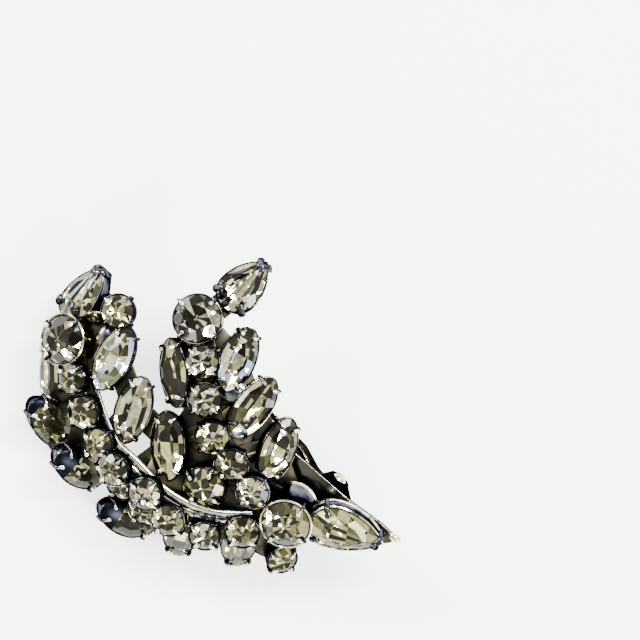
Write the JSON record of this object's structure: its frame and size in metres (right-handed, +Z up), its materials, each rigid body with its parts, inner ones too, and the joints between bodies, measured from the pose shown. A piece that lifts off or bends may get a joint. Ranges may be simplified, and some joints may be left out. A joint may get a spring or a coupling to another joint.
{
  "type": "crystal clip-on earring",
  "caption": "Clip-on earring of two curved sprays of claw-set round, leaf and pear crystals, with a hinged clip behind.",
  "frame": {"origin": "centre of the bounding box's footprint, at the surface that the earring lies on", "axes": "the earring lies on its back: +Z up off the surface, towards the crystals' faces; +X to the right and +Y to the top of the front view"},
  "size_m": [0.044, 0.037, 0.0137],
  "materials": {
    "setting_metal": "polished plating, darkened in the recesses",
    "clip_metal": "stamped sheet with worn dark plating",
    "pin_metal": "polished",
    "crystal": "cut, with foil behind the back facets"
  },
  "bodies": {
    "ornament": {"setting_frame": "setting_metal", "clip_base": "clip_metal", "hinge_pin": "pin_metal", "outer_round_1": "crystal", "outer_round_2": "crystal", "outer_round_3": "crystal", "outer_round_4": "crystal", "outer_round_5": "crystal", "outer_round_6": "crystal", "outer_round_7": "crystal", "outer_round_8": "crystal", "outer_round_9": "crystal", "outer_round_10": "crystal", "outer_shoulder": "crystal", "outer_round_11": "crystal", "outer_tip": "crystal", "outer_leaf_1": "crystal", "outer_leaf_2": "crystal", "outer_leaf_3": "crystal", "outer_leaf_4": "crystal", "outer_leaf_5": "crystal", "outer_leaf_6": "crystal", "outer_leaf_7": "crystal", "outer_leaf_8": "crystal", "inner_tip": "crystal", "inner_head": "crystal", "inner_round_1": "crystal", "inner_round_2": "crystal", "inner_round_3": "crystal", "inner_round_4": "crystal", "inner_leaf_1": "crystal", "inner_leaf_2": "crystal", "inner_leaf_3": "crystal", "inner_leaf_4": "crystal", "inner_leaf_5": "crystal", "centre_round": "crystal", "centre_side": "crystal", "base_crown": "crystal", "base_drop": "crystal", "base_pear": "crystal"},
    "paddle": {"clip_paddle": "clip_metal"}
  },
  "joints": [
    {"name": "paddle_hinge", "type": "hinge", "parent": "ornament", "child": "paddle", "pos_m": [0.01351, -0.00902, 0.00295], "axis": [-0.5898, -0.6859, -0.4262], "range_deg": [0, 70]}
  ]
}
